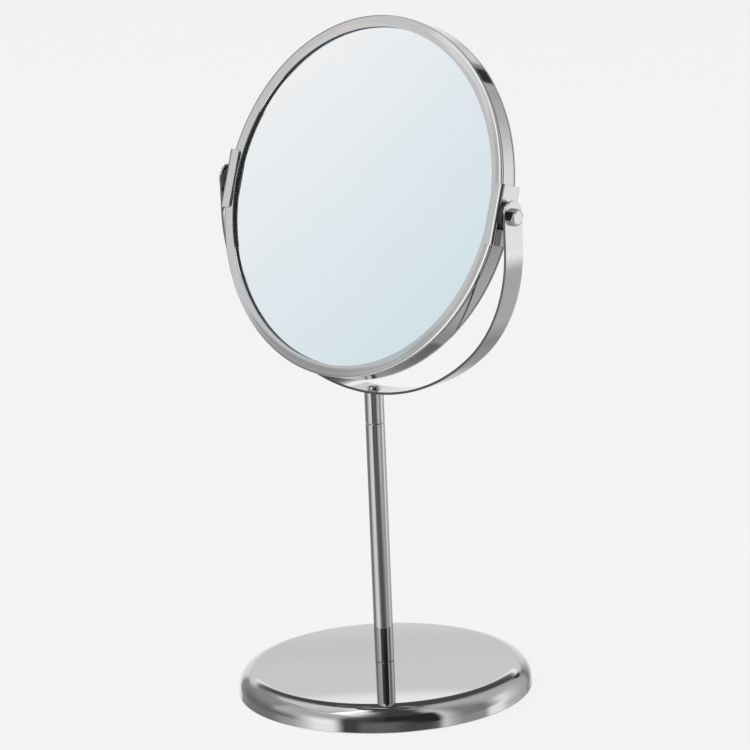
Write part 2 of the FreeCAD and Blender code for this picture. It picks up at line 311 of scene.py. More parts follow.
def grid_quads(rows: int, columns: int) -> Array:
    """Faces of a grid whose points are counted row by row.

    Args:
        rows: Number of its rows.
        columns: Number of its columns.

    Returns:
        Point numbers of each face (count, 4).
    """
    index = np.arange(rows * columns).reshape(rows, columns)
    return np.stack([index[:-1, :-1], index[1:, :-1], index[1:, 1:], index[:-1, 1:]], 2).reshape(-1, 4)


def lathe(section: Section, steps: int) -> Patch:
    """Surface of revolution: the point at angle t is (r cos t, r sin t, z), and its normal turns with it.

    Args:
        section: Line whose points are (radius, height).
        steps: Steps round the axis.

    Returns:
        The surface, with its last column on its first.
    """
    angles = np.linspace(0, 2 * math.pi, steps + 1)
    cosine, sine = np.cos(angles), np.sin(angles)

    def spin(pairs: Array) -> Array:
        """Turn (radius, height) pairs round the axis."""
        reach, height = pairs[:, :1], np.repeat(pairs[:, 1:], steps + 1, 1)
        return np.stack([reach * cosine, reach * sine, height], 2)

    return Patch(spin(section.points), spin(section.normals))


@dataclass(frozen=True)
class Stretch:
    """Part of a bent sheet's middle line, with a constant curvature (1 / radius, + to the left)."""

    length: float
    curvature: float = 0.0


@dataclass(frozen=True)
class Bend:
    """Middle line of a bent sheet, in a plane.

    Args:
        start: First point.
        heading: Direction there.
        stretches: Its straights and arcs, in order.
    """

    start: tuple[float, float]
    heading: float
    stretches: tuple[Stretch, ...]

    @property
    def length(self) -> float:
        """Length of the whole line."""
        return sum(stretch.length for stretch in self.stretches)

    def at(self, distance: Array) -> tuple[Array, Array, Array]:
        """Follow the line.

        On an arc of curvature k the heading grows by k per unit of length, and the point moves by
        (sin(h + k d) - sin h, cos h - cos(h + k d)) / k.

        Args:
            distance: Distances along the line, of any shape.

        Returns:
            Points, unit directions and unit normals (to the right of the direction), each (..., 2).
        """
        place = np.array(self.start, float)
        heading = math.radians(self.heading)
        points = np.zeros(distance.shape + (2,))
        angle = np.zeros(distance.shape)
        passed = 0.0
        for index, stretch in enumerate(self.stretches):
            first, last = index == 0, index == len(self.stretches) - 1
            here = (distance >= passed) | first
            here &= (distance <= passed + stretch.length) | last
            moved, turned = _along(distance - passed, heading, stretch.curvature)
            points[here] = (place + moved)[here]
            angle[here] = turned[here]
            step, end = _along(np.array(stretch.length), heading, stretch.curvature)
            place, heading = place + step, float(end)
            passed += stretch.length
        way = np.stack([np.cos(angle), np.sin(angle)], -1)
        return points, way, np.stack([way[..., 1], -way[..., 0]], -1)


def _along(distance: Array, heading: float, curvature: float) -> tuple[Array, Array]:
    """How far a point moves, and its heading, after a distance on one stretch.

    Args:
        distance: Distances from the stretch's start.
        heading: Heading there, in radians.
        curvature: The stretch's curvature.

    Returns:
        Moves (..., 2) and headings (...).
    """
    angle = heading + curvature * distance
    if curvature == 0:
        move = np.stack([math.cos(heading) * distance, math.sin(heading) * distance], -1)
    else:
        move = np.stack([np.sin(angle) - math.sin(heading), math.cos(heading) - np.cos(angle)], -1)
        move /= curvature
    return move, angle


def upright(plane: Array, across: Array) -> Array:
    """Vectors (..., 3) from their parts in the XZ plane (..., 2) and along Y (...)."""
    return np.stack([plane[..., 0], across, plane[..., 1]], -1)


@dataclass(frozen=True)
class Sheet:
    """A flat strip with rounded corners and softened edges, bent along its length in the XZ plane.

    Args:
        bend: Middle line, in the XZ plane.
        width: Width of the strip, along Y.
        thickness: Thickness of the sheet.
        corner: Rounding of the strip's four corners.
        edge: Rounding of the sheet's edges.
    """

    bend: Bend
    width: float
    thickness: float
    corner: float
    edge: float

    def patches(self) -> list[Patch]:
        """Both faces and the rim.

        Unrolled, the strip is a rounded rectangle. A column of a face reaches over half the strip's width
        there: w, or w - c + sqrt(c^2 - x^2) at x into a corner of radius c. The rim follows the face's
        border. Its section is a quarter turn down from one face, a flat, and a quarter turn to the other.

        Returns:
            The three patches.
        """
        half = self.bend.length / 2
        reach, side, corner = half - self.edge, self.width / 2 - self.edge, self.corner - self.edge
        turn = np.radians(np.linspace(0, POINTED_TURN if side <= corner else 90, CORNER_COLUMNS))
        ends = reach - corner + corner * np.sin(turn)
        count = max(LEAST_COLUMNS, int(self.bend.length / COLUMN_GAP) | 1)
        middle = np.linspace(-(reach - corner), reach - corner, count)
        columns = np.concatenate([-ends[::-1], middle[1:-1], ends])
        widths = side - corner * (1 - np.cos(turn))
        spread = np.concatenate([widths[::-1], np.full(count - 2, side), widths])
        lean = np.concatenate([-turn[::-1], np.zeros(count - 2), turn])
        across = np.linspace(-1, 1, CROSS_POINTS)

        grid = np.dstack(np.broadcast_arrays(columns[:, None], spread[:, None] * across,
                                             self.thickness / 2))
        faces = [self._bent(grid * (1, 1, sign), np.broadcast_to((0.0, 0.0, sign), grid.shape))
                 for sign in (1, -1)]

        tip, none = np.ones(CROSS_POINTS - 2), np.zeros(CROSS_POINTS - 2)
        sine, cosine = np.sin(lean), np.cos(lean)
        border = np.stack([
            np.concatenate([columns, columns[-1] * tip, columns[::-1], columns[0] * tip, columns[:1]]),
            np.concatenate([-spread, spread[-1] * across[1:-1], spread[::-1], spread[0] * across[-2:0:-1],
                            -spread[:1]])], 1)
        outwards = np.stack([np.concatenate([sine, tip, sine[::-1], -tip, sine[:1]]),
                             np.concatenate([-cosine, none, cosine[::-1], none, -cosine[:1]])], 1)

        def swept(start: Array, pairs: Array) -> Array:
            """Carry (outwards, up) pairs along the border, added to a start at each of its points."""
            flat = start[:, None] + outwards[:, None] * pairs[:, :1]
            return np.dstack([flat, np.broadcast_to(pairs[:, 1], flat.shape[:2])])

        section = (arc((0, self.thickness / 2 - self.edge), self.edge, 90, 0, steps=4)
                   + arc((0, self.edge - self.thickness / 2), self.edge, 0, -90, steps=4))
        return [*faces, self._bent(swept(border, section.points), swept(0 * border, section.normals))]

    def _bent(self, flat: Array, normals: Array) -> Patch:
        """Bend one patch of the unrolled strip.

        Args:
            flat: Its points (..., 3): along the strip from its middle, across it, and up from mid-sheet.
            normals: Its normals, in the same parts.

        Returns:
            The bent patch.
        """
        points, way, out = self.bend.at(flat[..., 0] + self.bend.length / 2)
        facing = way * normals[..., :1] + out * normals[..., 2:]
        return Patch(upright(points + out * flat[..., 2:], flat[..., 1]), upright(facing, normals[..., 1]))


# ---------------------------------------------------------------- materials
class Value:
    """A number in a material. Arithmetic on it adds Math nodes."""

    def __init__(self, graph: Graph, socket: bpy.types.NodeSocket) -> None:
        """Wrap an output socket."""
        self.graph = graph
        self.socket = socket

    def _math(self, operation: str, first: Value | float, second: Value | float) -> Value:
        """Add one Math node."""
        node = self.graph.node("ShaderNodeMath", {"operation": operation}, {0: first, 1: second})
        return Value(self.graph, node.outputs[0])

    def __add__(self, other: Value | float) -> Value:
        """Sum."""
        return self._math("ADD", self, other)

    def __radd__(self, other: float) -> Value:
        """Sum, from the right."""
        return self._math("ADD", other, self)

    def __sub__(self, other: Value | float) -> Value:
        """Difference."""
        return self._math("SUBTRACT", self, other)

    def __rsub__(self, other: float) -> Value:
        """Difference, from the right."""
        return self._math("SUBTRACT", other, self)

    def __mul__(self, other: Value | float) -> Value:
        """Product."""
        return self._math("MULTIPLY", self, other)

    def __rmul__(self, other: float) -> Value:
        """Product, from the right."""
        return self._math("MULTIPLY", other, self)

    def beyond(self, limit: float) -> Value:
        """1 where its size is over a limit, 0 elsewhere."""
        return self._math("GREATER_THAN", self._math("ABSOLUTE", self, 0.0), limit)


class Graph:
    """The nodes of one material or of the world."""

    def __init__(self, tree: bpy.types.NodeTree) -> None:
        """Start from an empty tree."""
        self.tree = tree
        tree.nodes.clear()

    def node(self, kind: str, settings: dict[str, object] | None = None,
             inputs: dict[str | int, object] | None = None) -> bpy.types.Node:
        """Add one node.

        Args:
            kind: Its type.
            settings: Its properties, set first. "stops" is a ramp's list of (place, colour).
            inputs: Values or links of its sockets, by name or number.

        Returns:
            The node.
        """
        made = self.tree.nodes.new(kind)
        for name, value in (settings or {}).items():
            if name == "stops":
                _set_stops(made.color_ramp, value)
            else:
                setattr(made, name, value)
        for name, value in (inputs or {}).items():
            socket = made.inputs[name]
            if isinstance(value, Value):
                value = value.socket
            if isinstance(value, bpy.types.NodeSocket):
                self.tree.links.new(value, socket)
            else:
                socket.default_value = value
        return made

    def noise(self, cells: float, detail: float) -> Value:
        """Noise on Object coordinates, about 0.5.

        Args:
            cells: Cells per metre.
            detail: Octaves.

        Returns:
            The noise.
        """
        place = self.node("ShaderNodeTexCoord").outputs["Object"]
        made = self.node("ShaderNodeTexNoise", inputs={"Vector": place, "Scale": cells, "Detail": detail})
        return Value(self, made.outputs["Fac"])

    def tone(self, mask: Value, dark: Colour, light: Colour) -> bpy.types.NodeSocket:
        """Colour between two, by a mask."""
        stops = [(TONE_DARK, dark), (TONE_LIGHT, light)]
        return self.node("ShaderNodeValToRGB", {"stops": stops}, {"Fac": mask}).outputs["Color"]

    def blend(self, mask: Value, first: bpy.types.NodeSocket, second: Colour) -> bpy.types.NodeSocket:
        """Colour that turns from the first to the second by a mask."""
        made = self.node("ShaderNodeMix", {"data_type": "RGBA"}, {0: mask, 6: first, 7: (*second, 1.0)})
        return made.outputs[2]

    def bump(self, height: Value, depth: float, strength: float) -> bpy.types.NodeSocket:
        """Bumpy normal, from a height of 0 to 1 that stands for a depth in metres."""
        inputs = {"Height": height, "Distance": depth, "Strength": strength}
        return self.node("ShaderNodeBump", inputs=inputs).outputs["Normal"]

    def across(self) -> Value:
        """Object coordinate along Y, across the yoke's strip, in metres."""
        place = self.node("ShaderNodeTexCoord").outputs["Object"]
        return Value(self, self.node("ShaderNodeSeparateXYZ", inputs={"Vector": place}).outputs["Y"])

    def seen(self) -> Value:
        """Sum of Light Path's outputs for the rays that show the background.

        Returns:
            1 for rays from the camera and for those off polished metal and silvered glass, 0 for rays off
            dull surfaces. Rays through clear glass are counted too, and nothing here is clear.
        """
        rays = self.node("ShaderNodeLightPath").outputs
        return (Value(self, rays["Is Camera Ray"]) + Value(self, rays["Is Glossy Ray"])
                + Value(self, rays["Is Transmission Ray"]))

    def surface(self, shader: bpy.types.Node) -> None:
        """Make a shader the material's surface."""
        self.node("ShaderNodeOutputMaterial", inputs={"Surface": shader.outputs[0]})


def _set_stops(ramp: bpy.types.ColorRamp, stops: list[tuple[float, Colour]]) -> None:
    """Give a ramp its stops.

    Args:
        ramp: The ramp.
        stops: Place and colour of each.
    """
    while len(ramp.elements) < len(stops):
        ramp.elements.new(1.0)
    for element, (place, colour) in zip(ramp.elements, stops):
        element.position = place
        element.color = (*colour, 1.0)


def new_material(name: str) -> tuple[bpy.types.Material, Graph]:
    """Start a material.

    Args:
        name: Its name.

    Returns:
        The material and its empty tree.
    """
    made = bpy.data.materials.new(name)
    made.use_nodes = True
    return made, Graph(made.node_tree)


CLOUD_CELLS = 24.0  # per metre, of the broad pattern
CLOUD_DETAIL = 3.0
FINE_DETAIL = 2.0
FINE_SHARE = 0.5  # of a finish's unevenness that its fine pattern has
TONE_DARK = 0.3  # of the broad pattern, up to which a finish has its darker colour
TONE_LIGHT = 0.7  # from which it has its lighter one
SHEARED_SHARE = 0.3  # of its colour that a sheared edge keeps
SHEARED_ROUGHNESS = 0.25  # that it adds


@dataclass(frozen=True)
class Finish:
    """A surface finish.

    Args:
        slot: The material slot in the record that it belongs to.
        colour: Its colour, linear.
        contrast: How much its colour varies, as a share.
        roughness: Its roughness.
        uneven: How much the roughness varies.
        metallic: 1 for metal.
        cells: Cells per metre of the fine pattern.
        depth: Depth of the fine pattern, in metres.
        strength: Strength of its bump.
        cut: Distance in metres from the plane y = 0 past which a dull, sheared edge lies. 0 has none.
    """

    # slot: Name that its material's name starts with.
    slot: str
    colour: Colour
    contrast: float
    roughness: float
    uneven: float
    metallic: float
    cells: float
    depth: float
    strength: float
    cut: float = 0.0

    @property
    def name(self) -> str:
        """Name of its material. The frame's own material has the slot's bare name."""
        return f"{self.slot}_{'sheared' if self.cut else 'finish'}"

    def material(self) -> bpy.types.Material:
        """The material of this finish, made once."""
        known = bpy.data.materials.get(self.name)
        return known if known else self._made()

    def _made(self) -> bpy.types.Material:
        """Broad clouds vary the colour and the roughness; fine noise roughens the surface.

        Returns:
            The new material.
        """
        made, graph = new_material(self.name)
        clouds = graph.noise(CLOUD_CELLS, CLOUD_DETAIL)
        fine = graph.noise(self.cells, FINE_DETAIL)
        dark = tuple(level * (1 - self.contrast) for level in self.colour)
        light = tuple(min(1.0, level * (1 + self.contrast)) for level in self.colour)
        rough = self.roughness + (clouds - 0.5) * self.uneven + (fine - 0.5) * (self.uneven * FINE_SHARE)
        colour = graph.tone(clouds, dark, light)
        if self.cut:
            past = graph.across().beyond(self.cut)
            colour = graph.blend(past, colour, tuple(level * SHEARED_SHARE for level in self.colour))
            rough = rough + past * SHEARED_ROUGHNESS
        graph.surface(graph.node("ShaderNodeBsdfPrincipled", inputs={
            "Base Color": colour, "Metallic": self.metallic, "Roughness": rough,
            "Normal": graph.bump(fine, self.depth, self.strength)}))
        return made


POLISHED_STEEL = Finish("polished_steel", (0.61, 0.607, 0.607), contrast=0.012, roughness=0.024,
                        uneven=0.008, metallic=1.0, cells=3000.0, depth=0.000002, strength=0.03)
SHEARED_STEEL = replace(POLISHED_STEEL, cut=0.00585)
ZINC_STEEL = Finish("zinc_steel", (0.6, 0.61, 0.62), contrast=0.06, roughness=0.28,
                    uneven=0.12, metallic=1.0, cells=2200.0, depth=0.00001, strength=0.15)
CAST_IRON = Finish("cast_iron", (0.035, 0.035, 0.037), contrast=0.3, roughness=0.62,
                   uneven=0.2, metallic=0.0, cells=900.0, depth=0.0002, strength=0.5)
PAD_RUBBER = Finish("pad_rubber", (0.022, 0.022, 0.022), contrast=0.2, roughness=0.8,
                    uneven=0.1, metallic=0.0, cells=1600.0, depth=0.0001, strength=0.5)
MIRROR_GLASS = Finish("mirror_glass", (0.88, 0.93, 0.95), contrast=0.004, roughness=0.012,
                      uneven=0.006, metallic=1.0, cells=600.0, depth=0.000001, strength=0.005)
# Painted shade: near-black colour of the ring under each bezel's opening. It stands for the shade of the
# recess between bezel and glass.
PAINTED_SHADE_FINISH = Finish("black_bead", (0.008, 0.008, 0.008), contrast=0.15, roughness=0.45,
                    uneven=0.06, metallic=0.0, cells=1800.0, depth=0.00001, strength=0.1)
BLACK_NYLON = Finish("black_nylon", (0.01, 0.01, 0.01), contrast=0.2, roughness=0.36,
                     uneven=0.1, metallic=0.0, cells=1500.0, depth=0.00003, strength=0.25)
WHITE_MOULDING = Finish("white_moulding", (0.78, 0.78, 0.76), contrast=0.03, roughness=0.45,
                        uneven=0.1, metallic=0.0, cells=1400.0, depth=0.00003, strength=0.2)


# ---------------------------------------------------------------- pieces
def add_object(name: str, data: bpy.types.ID) -> bpy.types.Object:
    """Put an object into the scene.

    Args:
        name: Its name.
        data: Its mesh, lamp or camera.

    Returns:
        The object.
    """
    made = bpy.data.objects.new(name, data)
    bpy.context.scene.collection.objects.link(made)
    return made


def wear(made: bpy.types.Object, finish: Finish) -> None:
    """Give an object its finish, as its only material.

    Args:
        made: The object.
        finish: Its finish.
    """
    made.data.materials.clear()
    made.data.materials.append(finish.material())


def dress_nodes(finish: Finish, *nodes: str) -> None:
    """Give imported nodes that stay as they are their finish.

    Args:
        finish: Their finish.
        nodes: Their names.
    """
    for node in nodes:
        wear(frame["nodes"][node], finish)
        log.info("%s: packed node kept, %s", node, finish.slot)


@dataclass(frozen=True)
class Piece:
    """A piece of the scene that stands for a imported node.

    Args:
        name: Its name.
        place: The frame it is worked out in.
        finish: Its finish.
        node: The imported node.
    """

    name: str
    place: Place
    finish: Finish
    node: str

    def build(self, *patches: Patch) -> None:
        """Weld patches into one mesh, with their exact normals.

        Args:
            patches: Its surfaces, in millimetres in its own frame.
        """
        faces: list[Array] = []
        count = 0
        for patch in patches:
            rows, columns = patch.points.shape[:2]
            quads = count + grid_quads(rows, columns)
            faces.append(quads[:, ::-1] if patch.inward() else quads)
            count += rows * columns
        matrix = np.array(self.place.matrix())
        points = np.concatenate([patch.points.reshape(-1, 3) for patch in patches])
        world = points * MM @ matrix[:3, :3].T + matrix[:3, 3]
        normals = np.concatenate([patch.normals.reshape(-1, 3) for patch in patches]) @ matrix[:3, :3].T
        self._dress(add_object(self.name, weld(self.name, world, np.concatenate(faces), normals)))

    def build_from_node(self, edge: float, seat: float, keep: float) -> None:
        """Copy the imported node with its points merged, shaded smooth between its edges, which are softened.

        Args:
            edge: Width of the softened edges.
            seat: Level over which it is made lower.
            keep: Share of its height over that level which it keeps.
        """
        mesh = frame["nodes"][self.node].data
        points = np.empty(len(mesh.vertices) * 3)
        mesh.vertices.foreach_get("co", points)
        triangles = np.empty(len(mesh.loops), np.int32)
        mesh.loops.foreach_get("vertex_index", triangles)
        points = points.reshape(-1, 3)
        first, merged = merge_points(points)
        points[:, 2] -= np.maximum(points[:, 2] - seat * MM, 0) * (1 - keep)
        copy = bpy.data.meshes.new(self.name)
        copy.from_pydata(points[first], [], merged[triangles].reshape(-1, 3))
        copy.validate()
        copy.shade_smooth()
        copy.set_sharp_from_angle(angle=math.radians(EDGE_TURN))
        made = add_object(self.name, copy)
        soft = made.modifiers.new("edges", "BEVEL")
        soft.width = edge * MM
        soft.segments = 2
        soft.angle_limit = math.radians(EDGE_TURN)
        soft.harden_normals = True
        self._dress(made)

    def _dress(self, made: bpy.types.Object) -> None:
        """Give the piece its body, node and finish, and report it.

        Args:
            made: The piece, in place.
        """
        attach(made, self.place.body.value)
        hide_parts(self.node)
        wear(made, self.finish)
        log.info("%s: %d faces, on %s", self.name, len(made.data.polygons), self.place.body.value)


def merge_points(points: Array) -> tuple[Array, Array]:
    """Find the points that lie on each other.

    Args:
        points: Points (count, 3), in metres.

    Returns:
        The first point of each place, and the place of each point, as numbers.
    """
    cells = np.round(points / MERGE_METRES).astype(np.int64)
    _, first, place = np.unique(cells, axis=0, return_index=True, return_inverse=True)
    return first, place.reshape(-1)


def weld(name: str, points: Array, quads: Array, normals: Array) -> bpy.types.Mesh:
    """Mesh whose coincident points are one vertex, with a normal kept for each face corner.

    A quad that loses a corner at a pole becomes a triangle.

    Args:
        name: Name of the mesh.
        points: Points (count, 3), in metres.
        quads: Point numbers (count, 4).
        normals: Unit normals of the points.

    Returns:
        The mesh.
    """
    first, merged = merge_points(points)
    corners = merged[quads]
    lost = corners == np.roll(corners, -1, 1)
    whole = ~lost.any(1)
    cut = lost.sum(1) == 1
    loops = np.concatenate([quads[whole].ravel(), quads[cut][~lost[cut]]])
    totals = np.concatenate([np.full(whole.sum(), 4), np.full(cut.sum(), 3)])
    mesh = bpy.data.meshes.new(name)
    mesh.vertices.add(len(first))
    mesh.vertices.foreach_set("co", points[first].ravel())
    mesh.loops.add(len(loops))
    mesh.loops.foreach_set("vertex_index", merged[loops])
    mesh.polygons.add(len(totals))
    mesh.polygons.foreach_set("loop_start", np.concatenate([[0], np.cumsum(totals)[:-1]]))
    mesh.polygons.foreach_set("loop_total", totals)
    mesh.update(calc_edges=True)
    mesh.shade_smooth()
    mesh.normals_split_custom_set(normals[loops])
    return mesh


# ---------------------------------------------------------------- stand
@dataclass
class Base:
    """Pressed cover over a cast weight, on a soft pad."""

    crown_curve: float = 1600.0  # radius of the slightly domed top
    shoulder: float = 8.7  # radius between skirt and top
    draft: float = 4.0  # lean of the skirt
    sheet: float = 0.8
    pad_edge: float = 0.4
    pad_bore_edge: float = 0.1
    cover: Extent = measured("base_cover", Place.STAND)
    pad: Extent = measured("base_pad", Place.STAND)

    def build(self) -> None:
        """Build the cover and the pad, and dress what is inside."""
        Piece("cover", Place.STAND, POLISHED_STEEL, "base_cover").build(
            lathe(self._cover_line(), RING_STEPS))
        soft = self.pad_bore_edge
        pad_line = ring_section(self.pad, (soft, self.pad_edge, soft, soft))
        Piece("pad", Place.STAND, PAD_RUBBER, "base_pad").build(lathe(pad_line, DISC_STEPS))
        dress_nodes(CAST_IRON, "base_weight")
        dress_nodes(ZINC_STEEL, "stem_screw", "lock_washer")

    def _form(self, inset: float) -> Section:
        """Skirt, shoulder and crown, drawn in by an inset.

        The shoulder touches the crown, so the distance between their centres is the difference of their
        radii. It also touches the skirt, a line through the foot that leans by the draft, so its centre is
        its radius away from that line: side = foot - (level + r sin d - bottom) tan d - r cos d. The two are
        solved by turns.

        Args:
            inset: Distance from the outside.

        Returns:
            The line from the foot to the axis.
        """
        lean = math.radians(self.draft)
        level = 0.0
        for _ in range(SOLVING_TURNS):
            rise = level + self.shoulder * math.sin(lean) - self.cover.bottom
            side = self.cover.radius - rise * math.tan(lean) - self.shoulder * math.cos(lean)
            up = math.sqrt((self.crown_curve - self.shoulder) ** 2 - side ** 2)
            level = self.cover.top - self.crown_curve + up
        turn = math.degrees(math.atan2(up, side))
        foot = self.cover.radius - inset / math.cos(lean)
        edge = self.cover.bottom + self.sheet / 2
        foot -= (edge - self.cover.bottom) * math.tan(lean)
        skirt = Section(np.array([[foot, edge]]), np.array([[math.cos(lean), math.sin(lean)]]))
        shoulder = arc((side, level), self.shoulder - inset, self.draft, turn, steps=40)
        crown = arc((0, self.cover.top - self.crown_curve), self.crown_curve - inset, turn, 90, steps=40)
        return skirt + shoulder + crown

    def _cover_line(self) -> Section:
        """Outside of the cover, round its lower edge and up its inside.

        Returns:
            The line, anticlockwise round the sheet.
        """
        outside = self._form(0.0)
        inside = self._form(self.sheet)
        across, level = ((outside.points[0] + inside.points[0]) / 2).tolist()
        edge = arc((across, level), self.sheet / 2, 180 + self.draft, 360 + self.draft, steps=10)
        return Section(inside.points[::-1], -inside.normals[::-1]) + edge + outside


@dataclass
class Stem:
    """Polished tube with the collar that carries the yoke."""

    chamfer: float = 0.35
    edge: float = 0.12
    tube: Extent = measured("stem_tube", Place.STAND)
    collar: Extent = measured("neck_collar", Place.STAND)

    def build(self) -> None:
        """Build tube and collar, and dress what joins them."""
        tube, collar, half_edge = self.tube, self.collar, self.edge / 2
        face = tube.radius - self.chamfer
        line = rounded([(tube.bore, tube.bottom, self.edge), (face, tube.bottom, half_edge),
                        (tube.radius, tube.bottom + self.chamfer, self.edge),
                        (tube.radius, tube.top - self.chamfer, self.edge), (face, tube.top, half_edge),
                        (tube.bore, tube.top, self.edge)])
        Piece("stem", Place.STAND, POLISHED_STEEL, "stem_tube").build(lathe(line, ROD_STEPS))
        line = rounded([(0, collar.bottom, 0), (collar.radius - self.chamfer, collar.bottom, half_edge),
                        (collar.radius, collar.bottom + self.chamfer, self.edge),
                        (collar.radius, collar.top, self.edge), (0, collar.top, 0)], closed=False)
        Piece("collar", Place.STAND, POLISHED_STEEL, "neck_collar").build(lathe(line, ROD_STEPS))
        dress_nodes(ZINC_STEEL, "stem_lower_plug", "stem_upper_plug", "coupling_stud")


@dataclass
class Yoke:
    """Flat strip bent to a U, and the screw in its bottom."""

    corner_radius: float = 70.0  # outside, between arm and bottom
    flatness: float = 10.4  # by which the bottom arc's radius is more than half the width
    sheet: float = 1.2
    edge: float = 0.2
    screw_edge: float = 0.3
    screw_keep: float = 0.66  # of the height of the solid screw's head
    strip: Extent = measured("yoke", Place.STAND)

    def build(self) -> None:
        """Build the strip and the screw."""
        width = float(self.strip.high[1] - self.strip.low[1])
        sheet = Sheet(self._bend(), width, self.sheet, width / 2, self.edge)
        Piece("yoke_strip", Place.STAND, SHEARED_STEEL, "yoke").build(*sheet.patches())
        Piece("neck_screw", Place.STAND, POLISHED_STEEL, "yoke_screw").build_from_node(
            self.screw_edge, self.strip.bottom + self.sheet, self.screw_keep)

    def _bend(self) -> Bend:
        """Middle line of the U, from the left arm's end to the right one's.

        The bottom arc touches the shoulder arcs, so the distance between their centres is the difference
        of their radii.

        Returns:
            The line.
        """
        half_width = float(self.strip.high[0]) - self.sheet / 2
        bottom = self.strip.bottom + self.sheet / 2
        corner = self.corner_radius - self.sheet / 2
        wide = half_width + self.flatness
        side = half_width - corner
        above = math.sqrt((wide - corner) ** 2 - side ** 2)
        level = bottom + wide - above
        turn = math.atan2(above, side)
        arm = Stretch(self.strip.top - level)
        shoulder = Stretch(corner * turn, 1 / corner)
        floor = Stretch(wide * (math.pi - 2 * turn), 1 / wide)
        return Bend((-half_width, self.strip.top), -90, (arm, shoulder, floor, shoulder, arm))


# ---------------------------------------------------------------- mirror head
@dataclass
class Ring:
    """Stepped band with a bezel at each face, and under each bezel's opening a near-black ring that is
    painted shade of the recess between bezel and glass.
    """

    sheet: float = 0.8
    edge: float = 0.1
    lip: float = 0.25  # rounding of the bezel's opening
    crown: float = 28.0  # radius of the bezel's domed face
    rim: float = 0.7  # height of the bezel's rolled rim
    rim_across: float = 1.8
    flange_edge: float = 0.2
    seam: float = 0.4  # from the flange's end to the band's step
    run: float = 0.05  # by which the step slants
    band: Extent = measured("ring_band", Place.HEAD)
    bezel: Extent = measured("front_bezel", Place.HEAD)
    # ring under the bezel's opening, whose near-black colour is painted shade
    shade_ring: Extent = measured("front_gasket", Place.HEAD)

    def build(self) -> None:
        """Build the band, and the bezel and the painted-shade ring of each face."""
        Piece("band", Place.HEAD, POLISHED_STEEL, "ring_band").build(lathe(self._band_line(), RING_STEPS))
        # The near-black ring under each bezel is painted shade of the recess between bezel and glass.
        shade_ring_line = ring_section(self.shade_ring, (self.edge, self.edge, self.edge, self.edge))
        for face in Face:
            for part, line, finish, node in (("bezel", self._bezel_line(), POLISHED_STEEL, "bezel"),
                                             ("shade_ring", shade_ring_line, PAINTED_SHADE_FINISH, "gasket")):
                section = line if face is Face.FRONT else line.mirrored()
                Piece(f"{part}_{face.value}", Place.HEAD, finish, f"{face.value}_{node}").build(
                    lathe(section, RING_STEPS))

    def _bezel_line(self) -> Section:
        """Section of the front bezel: face domed by an arc, rolled rim and flange.

        Returns:
            The line, anticlockwise round the sheet.
        """
        bezel = self.bezel
        back = bezel.top - self.sheet
        flange = bezel.radius - self.sheet
        knee = bezel.radius - self.rim_across
        low = bezel.top - self.rim
        start = bezel.bore + 2 * self.lip
        turn = math.asin((knee - start) / self.crown)
        fall = self.crown * (1 - math.cos(turn))
        rest = rounded([(start, bezel.top, 0), (bezel.bore, bezel.top, self.lip),
                        (bezel.bore, back, self.edge), (flange, back, self.edge),
                        (flange, bezel.bottom, self.edge), (bezel.radius, bezel.bottom, self.flange_edge),
                        (bezel.radius, low, 0)], closed=False)
        rim = oval((knee, low), self.rim_across, self.rim - fall, steps=12)
        face = arc((start, bezel.top - self.crown), self.crown, 90 - math.degrees(turn), 90, steps=8)
        return rest + Section(rim.points[1:], rim.normals[1:]) + face

    def _band_line(self) -> Section:
        """Section of the band: a wall with a step at each edge, over which the flanges lie.

        Returns:
            The line, anticlockwise round the sheet.
        """
        slope = self.bezel.bottom - self.seam
        step = slope + self.run
        radius, edge, inner = self.band.radius, self.band.top, self.band.bore
        outer = inner + self.sheet
        wall = radius - self.sheet
        return rounded([(radius, -slope, self.edge), (radius, slope, self.edge), (outer, step, self.edge),
                        (outer, edge, self.edge), (inner, edge, self.edge), (inner, step, self.edge),
                        (wall, slope, self.edge), (wall, -slope, self.edge), (inner, -step, self.edge),
                        (inner, -edge, self.edge), (outer, -edge, self.edge), (outer, -step, self.edge)])


@dataclass
class Glasses:
    """Plain glass at the front, magnifying glass at the rear, and what is between them."""

    curve: float = 1260.0  # radius of the magnifying glass
    edge: float = 0.15
    plain: Extent = measured("plain_glass", Place.HEAD)
    hollow: Extent = measured("magnifying_glass", Place.HEAD)

    def build(self) -> None:
        """Build both glasses and dress the spacer."""
        plain = self.plain
        line = rounded([(0, plain.bottom, 0), (plain.radius, plain.bottom, self.edge),
                        (plain.radius, plain.top, self.edge), (0, plain.top, 0)], closed=False)
        Piece("plain_mirror", Place.HEAD, MIRROR_GLASS, "plain_glass").build(lathe(line, DISC_STEPS))
        Piece("magnifying_mirror", Place.HEAD, MIRROR_GLASS, "magnifying_glass").build(
            lathe(self._hollow_line(), DISC_STEPS))
        dress_nodes(WHITE_MOULDING, "glass_spacer")

    def _hollow_line(self) -> Section:
        """Section of the concave glass, of even thickness: two arcs of one radius.

        Returns:
            The line.
        """
        radius, rim = self.hollow.radius, self.hollow.bottom
        sag = self.curve - math.sqrt(self.curve ** 2 - radius ** 2)
        thick = self.hollow.top - sag - rim
        reach = math.degrees(math.asin(radius / self.curve))
        face = arc((0, rim + sag - self.curve), self.curve, 90, 90 - reach, steps=48)
        back = arc((0, rim + sag + thick - self.curve), self.curve, 90 - reach, 90, steps=48)
        edge = Section(np.array([[radius, rim], [radius, rim + thick]]), np.array([[1.0, 0], [1.0, 0]]))
        return Section(face.points, -face.normals) + edge + back


